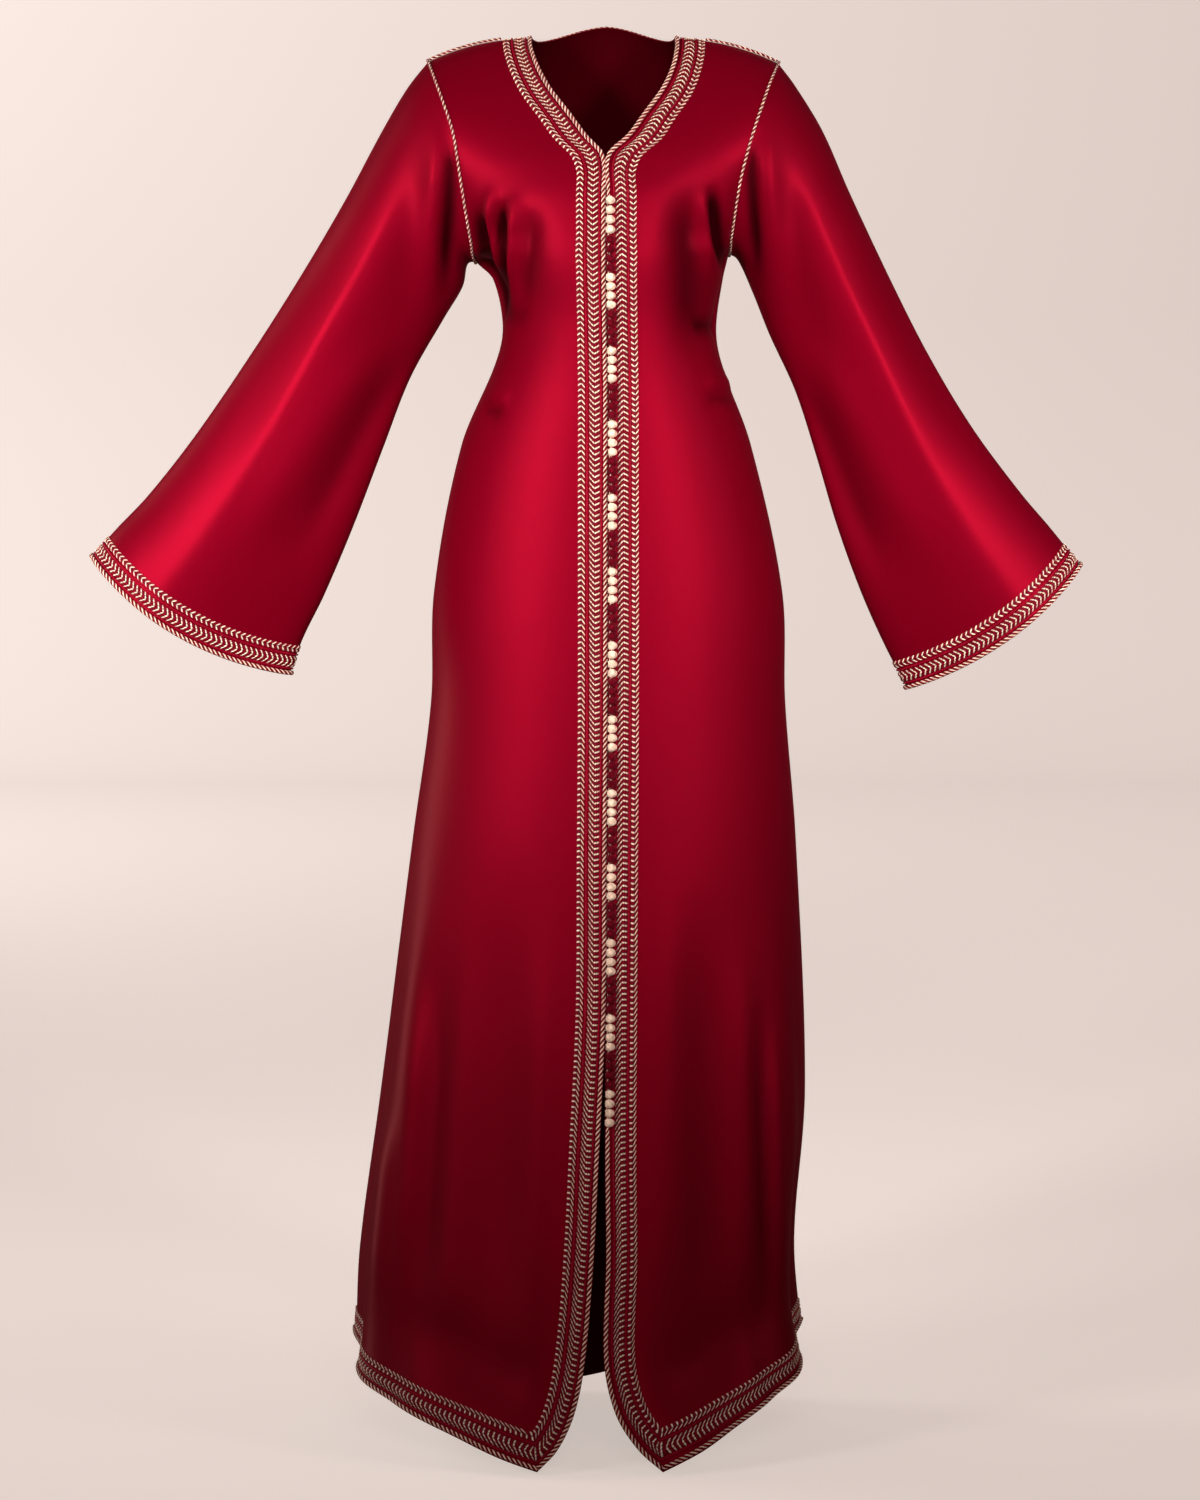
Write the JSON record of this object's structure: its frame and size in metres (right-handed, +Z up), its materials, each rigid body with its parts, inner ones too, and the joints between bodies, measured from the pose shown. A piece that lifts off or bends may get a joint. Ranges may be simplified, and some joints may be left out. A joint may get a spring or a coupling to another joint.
{
  "type": "kaftan",
  "caption": "Long wine red satin kaftan as worn, with wide straight sleeves, a V neck, braid bands down the open-footed front and round hem and cuffs, and a row of knot buttons.",
  "frame": {"origin": "midway between the inner ends of the shoulder seams, where a wearer's shoulders carry it", "axes": "+Z up towards the neck, +X towards the viewer's right sleeve, -Y out of the buttoned front"},
  "size_m": [1.0437, 0.4085, 1.4742],
  "materials": {
    "satin": "glossy satin",
    "braid": "twisted cream thread on wine red",
    "seam_cord": "twisted cream and wine thread",
    "cream_knots": "tight thread",
    "wine_knots": "tight thread"
  },
  "bodies": {
    "root": {"front_left": "satin", "front_right": "satin", "back": "satin", "sleeve_left": "satin", "sleeve_right": "satin", "front_band_left": "braid", "front_band_right": "braid", "hem_band_front_left": "braid", "hem_band_front_right": "braid", "hem_band_back": "braid", "neck_band_back": "braid", "cuff_band_left": "braid", "cuff_band_right": "braid", "armhole_cord_left": "seam_cord", "armhole_cord_right": "seam_cord", "shoulder_cord_left": "seam_cord", "shoulder_cord_right": "seam_cord", "button_run_01": "cream_knots", "button_run_02": "wine_knots", "button_run_03": "cream_knots", "button_run_04": "wine_knots", "button_run_05": "cream_knots", "button_run_06": "wine_knots", "button_run_07": "cream_knots", "button_run_08": "wine_knots", "button_run_09": "cream_knots", "button_run_10": "wine_knots", "button_run_11": "cream_knots", "button_run_12": "wine_knots", "button_run_13": "cream_knots", "button_run_14": "wine_knots", "button_run_15": "cream_knots", "button_run_16": "wine_knots", "button_run_17": "cream_knots", "button_run_18": "wine_knots", "button_run_19": "cream_knots", "button_run_20": "wine_knots", "button_run_21": "cream_knots", "button_run_22": "wine_knots", "button_run_23": "cream_knots", "button_run_24": "wine_knots", "button_run_25": "cream_knots"}
  },
  "joints": []
}
